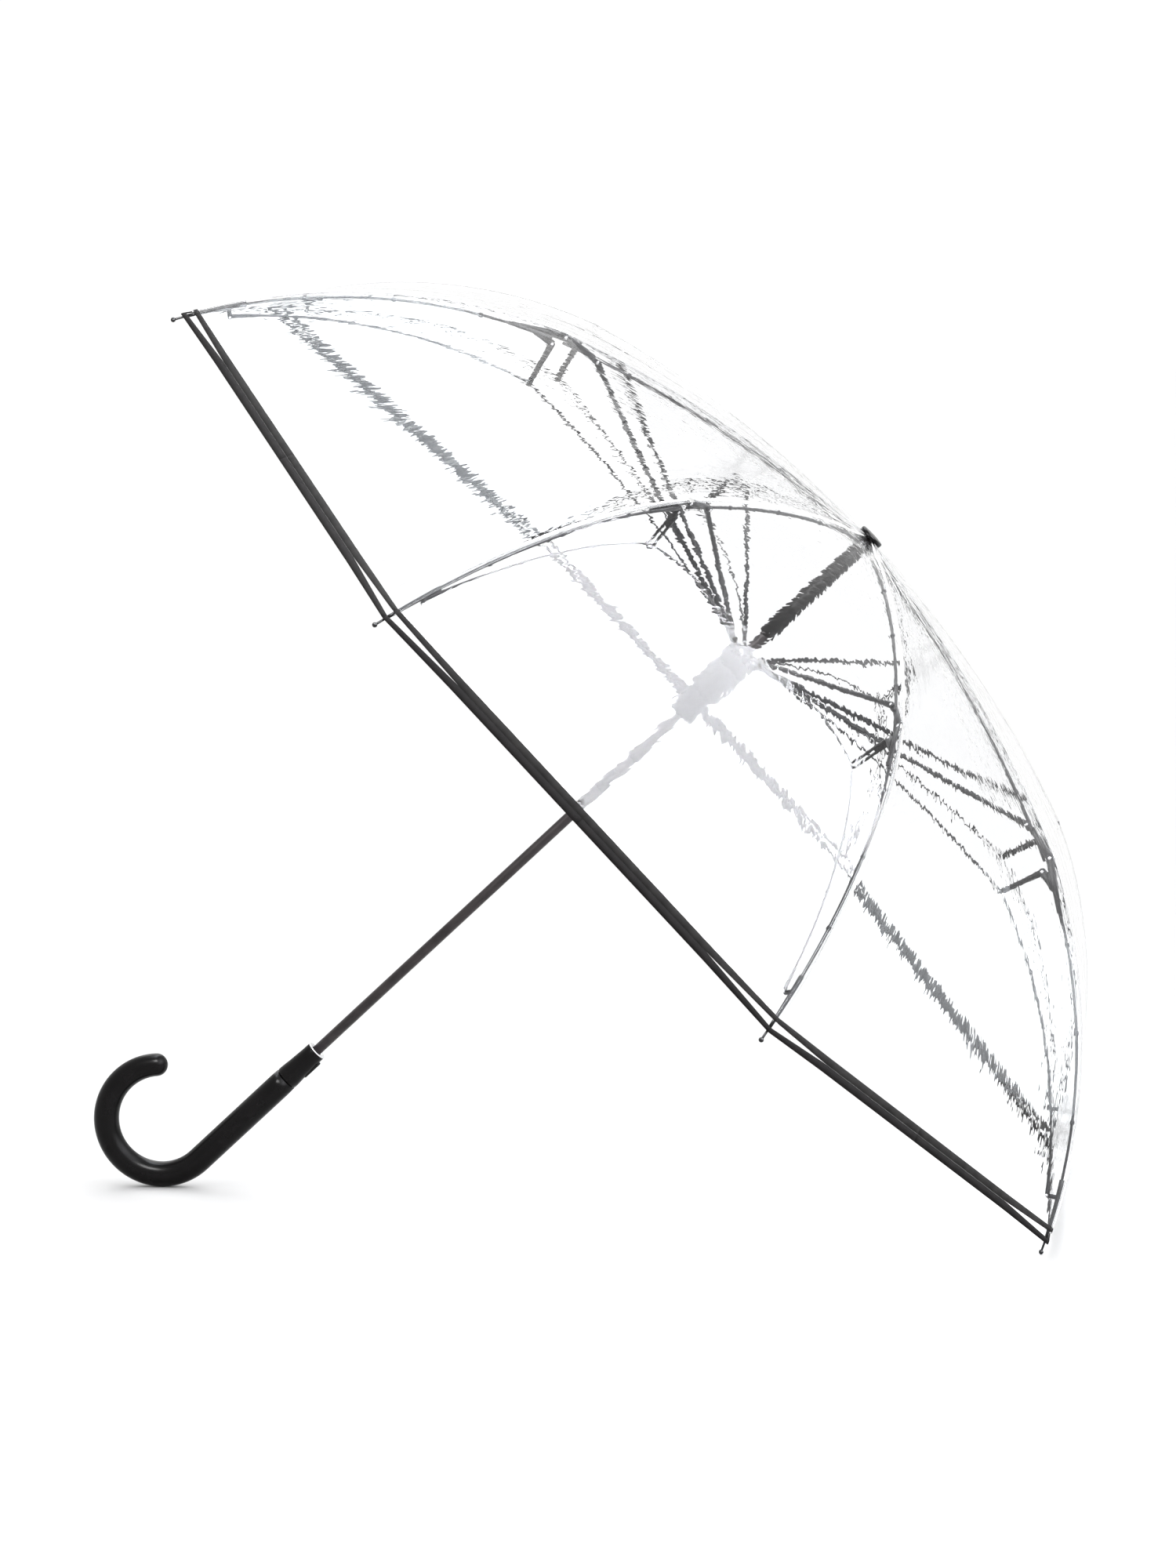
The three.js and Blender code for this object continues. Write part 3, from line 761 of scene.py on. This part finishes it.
def film_panel(k, part, line, rows, columns, body):
    """The film over one part of rib k, half-way to the ribs at each side."""
    lengths = np.concatenate([[0], np.cumsum(np.linalg.norm(np.diff(line, axis=0), axis=1))])
    start = PATTERN_START[part]
    verts, uvs = [], []
    for i in range(rows + 1):
        d = lengths[-1] * i / rows
        place = np.array([np.interp(d, lengths, line[:, j]) for j in range(2)])
        for j in range(columns + 1):
            v = 2 * j / columns - 1
            verts.append(wrinkled(on_gore(k, place, v), k, v, start + d))
            uvs.append((azimuth_of(k) * PATTERN_TURN + v * place[0] * math.sin(HALF_GORE), start + d))
    wide = columns + 1
    faces = [
        (i * wide + j, i * wide + j + 1, (i + 1) * wide + j + 1, (i + 1) * wide + j)
        for i in range(rows) for j in range(columns)
    ]
    replaced = ["canopy"] if (k, part) == (1, "inner") else []
    obj = mesh_object(f"film_{part}_{k}", verts, faces, FILM, body, replaced)
    layer = obj.data.uv_layers.new(name="film")
    for loop in obj.data.loops:
        layer.data[loop.index].uv = uvs[loop.vertex_index]
    gather(obj)
    return obj


def gather(obj):
    """Gives the piece a mesh of its own."""
    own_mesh(obj)


def seam(k, part, line, body):
    """A low welded ridge of film along the rib."""
    width, height = 0.0024, 0.0006
    profile = [(math.cos(a) * width, math.sin(a) * height) for a in np.linspace(0, math.pi, 7)]
    az = azimuth_of(k)
    steps = max(12, int(length_of(line) / 0.006))
    places = stretch(line, 0, length_of(line), steps=steps)
    ahead = np.gradient(places, axis=0)
    outward = np.stack([ahead[:, 1], -ahead[:, 0]], axis=1)
    outward /= np.linalg.norm(outward, axis=1)[:, None]
    rings = [
        [at(az, *(place + out * (0.0002 + up)), lane) for lane, up in profile]
        for place, out in zip(places, outward)
    ]
    verts, faces = loft(rings)
    obj = mesh_object(f"seam_{part}_{k}", verts, faces, SEAM, body, slot="film")
    gather(obj)
    return obj


def tape(k, side, name, edges, material, replaced=()):
    """A strip of binding from tip k to the middle of the gore on one side.

    edges gives, for a distance from the rib, the two distances from the tip that the tape lies between."""
    line = OVER_OUTER[::-1]
    half_width = TIP[0] * math.sin(HALF_GORE)
    columns = 48
    lift, thickness = 0.0003, 0.0008
    section = ((0, 0), (0, 1), (0.5, 1.25), (1, 1), (1, 0), (0.5, 0))
    rings, uvs = [], []
    for j in range(columns + 1):
        v = side * j / columns
        near, far = edges(abs(v) * half_width)
        ring = []
        for share, level in section:
            d = near + share * (far - near)
            place = along_line(line, d)
            step = along_line(line, d + 0.004) - place
            outward = np.array([-step[1], step[0]]) / np.linalg.norm(step)
            place = place + outward * (lift + thickness * level)
            ring.append(on_gore(k, place, v))
            uvs.append((v * half_width, d))
        rings.append(ring if side > 0 else ring[::-1])
    verts, faces = loft(rings)
    which = "left" if side < 0 else "right"
    obj = mesh_object(
        f"{name}_{which}_{k}", verts, faces, material, f"outer_rib_{k}", replaced, slot="binding")
    layer = obj.data.uv_layers.new(name="tape")
    for loop in obj.data.loops:
        layer.data[loop.index].uv = uvs[loop.vertex_index]
    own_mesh(obj)
    return obj


SPLIT = 0.075  # nearer to the rib than this, the binding's two layers part


def lower_edges(from_rib):
    """How far from the tip the binding's lower layer starts and ends."""
    part = max(0.0, 1 - from_rib / SPLIT)
    return 0.0085 - 0.001 * part, 0.0150 - 0.0035 * part


def upper_edges(from_rib):
    """The same for the upper layer."""
    part = max(0.0, 1 - from_rib / SPLIT)
    return 0.0153 + 0.0025 * part, 0.0212 + 0.0005 * part


OUTER_FILM = OVER_OUTER[:-3]  # the film ends a little before the rib's tip
for rib_number in RIBS:
    inner_body, outer_body = f"inner_rib_{rib_number}", f"outer_rib_{rib_number}"
    inner_seam = seam(rib_number, "inner", OVER_INNER, inner_body)
    film_panel(rib_number, "inner", OVER_INNER, 30, 24, inner_body)
    outer_trim = [seam(rib_number, "outer", OUTER_FILM, outer_body)]
    for side in (-1, 1):
        stands_for = ["hem"] if (rib_number, side) == (1, 1) else []
        outer_trim.append(tape(rib_number, side, "hem_lower", lower_edges, TAPE_DARK, stands_for))
        outer_trim.append(tape(rib_number, side, "hem_upper", upper_edges, TAPE_LIGHT))
    film_panel(rib_number, "outer", OUTER_FILM, 36, 40, outer_body)


# ---------------------------------------------------------------- camera, lights and floor
LENS, SENSOR = 121.41, 36  # mm
DISTANCE = 4.553
CAMERA_AZIMUTH = math.radians(-5.90)
CAMERA_ELEVATION = math.radians(6.58)
PAN_RIGHT, PAN_UP = 0.2429, 0.2119  # from the middle of the view to the crown
FLOOR_HALF = 20
WORLD_STRENGTH = 1.04
SUN_STRENGTH, SUN_WIDTH = 0.88, math.radians(42)
SUN_DIRECTION = Vector((-0.1, 1.0, 1.0))
GORE_MIDDLE_R, GORE_MIDDLE_S = 0.42, 0.17  # the part of a gore that mirrors its softbox


def make_camera():
    """A long lens, looking slightly down and to the left."""
    ahead = np.array([
        math.sin(CAMERA_AZIMUTH) * math.cos(CAMERA_ELEVATION),
        math.cos(CAMERA_AZIMUTH) * math.cos(CAMERA_ELEVATION),
        -math.sin(CAMERA_ELEVATION)])
    right = np.array([math.cos(CAMERA_AZIMUTH), -math.sin(CAMERA_AZIMUTH), 0])
    up = np.cross(right, ahead)
    place = CROWN - right * PAN_RIGHT - up * PAN_UP - ahead * DISTANCE
    camera = bpy.data.objects.new("camera", bpy.data.cameras.new("camera"))
    camera.matrix_world = Matrix([
        [right[i], up[i], -ahead[i], place[i]] for i in range(3)] + [[0, 0, 0, 1]])
    camera.data.sensor_width = SENSOR
    camera.data.lens = LENS
    camera.data.clip_end = 100
    bpy.context.scene.collection.objects.link(camera)
    bpy.context.scene.camera = camera


def gloss_light(name, place, target, sweep, size, radiance, colour=(1, 1, 1)):
    """A rectangle of light, seen only in reflections. It faces the target, its first side along the sweep."""
    data = bpy.data.lights.new(name, "AREA")
    data.shape = "RECTANGLE"
    data.size, data.size_y = size
    data.energy = radiance * math.pi * size[0] * size[1]
    data.color = colour
    away = unit(place - target)
    side = unit(sweep - away * (sweep @ away))
    other = np.cross(away, side)
    light = bpy.data.objects.new(name, data)
    light.matrix_world = Matrix([[side[i], other[i], away[i], place[i]] for i in range(3)] + [[0, 0, 0, 1]])
    light.visible_camera = False
    light.visible_diffuse = False
    light.visible_transmission = False
    bpy.context.scene.collection.objects.link(light)


def make_world():
    world = bpy.data.worlds.new("studio")
    world.use_nodes = True
    background = world.node_tree.nodes["Background"]
    background.inputs["Color"].default_value = (1, 1, 1, 1)
    background.inputs["Strength"].default_value = WORLD_STRENGTH
    bpy.context.scene.world = world


def make_floor():
    verts = [(FLOOR_HALF * x, FLOOR_HALF * y, 0) for x, y in ((-1, -1), (1, -1), (1, 1), (-1, 1))]
    mesh = bpy.data.meshes.new("floor")
    mesh.from_pydata(verts, [], [(0, 1, 2, 3)])
    n = Nodes("floor_paper")
    shader = n.add("ShaderNodeBsdfPrincipled")
    shader.inputs["Base Color"].default_value = (0.80, 0.80, 0.80, 1)
    shader.inputs["Roughness"].default_value = 0.7
    shader.inputs["Specular IOR Level"].default_value = 0.1
    mesh.materials.append(n.surface(shader.outputs[0]))
    floor = bpy.data.objects.new("floor", mesh)
    bpy.context.scene.collection.objects.link(floor)
    floor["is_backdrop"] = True


def overhead_light():
    """One wide soft light from above and behind, so that the contact shadows fall softly to the front."""
    data = bpy.data.lights.new("overhead", "SUN")
    data.energy = SUN_STRENGTH
    data.angle = SUN_WIDTH
    light = bpy.data.objects.new("overhead", data)
    light.rotation_euler = SUN_DIRECTION.to_track_quat("Z", "Y").to_euler()
    bpy.context.scene.collection.objects.link(light)


def softbox(name, ribs, slopes, width, radiance, colour, reach=2.2):
    """A big softbox, placed so that the gore between two ribs mirrors it over a range of slopes."""
    near_side = unit(RADIAL[ribs[0]] + RADIAL[ribs[1]])
    gore = CROWN + near_side * GORE_MIDDLE_R + DOWN * GORE_MIDDLE_S
    ahead = unit(gore - np.array(bpy.context.scene.camera.location))

    def mirrored(slope):
        normal = math.sin(slope) * near_side - math.cos(slope) * DOWN
        return ahead - 2 * (ahead @ normal) * normal

    first, last = (mirrored(math.radians(slope)) for slope in slopes)
    middle = unit(first + last)
    half_side = reach * math.tan(math.acos(np.clip(first @ last, -1, 1)) / 2)
    size = (2 * half_side, width)
    gloss_light(name, gore + middle * reach, gore, last - first, size, radiance, colour)


make_world()
make_floor()
make_camera()
overhead_light()
softbox("near_softbox", (2, 3), (33, 64), 1.5, 28.0, (0.95, 0.955, 1.0))
softbox("left_softbox", (1, 2), (34, 66), 1.3, 8.0, (0.88, 0.94, 1.0))
softbox("right_softbox", (3, 4), (30, 66), 0.9, 5.0, (0.90, 0.95, 1.0), reach=0.9)
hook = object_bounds()[0]
hook_foot = np.array([hook[0] + 0.07, 0.0, 0.0])
gloss_light(
    "handle_softbox", hook_foot + [0.05, -0.80, 1.02], hook_foot, np.array([1.0, 0.0, 0.0]),
    (0.5, 0.35), 32.0)
bpy.context.scene.view_settings.view_transform = "Standard"
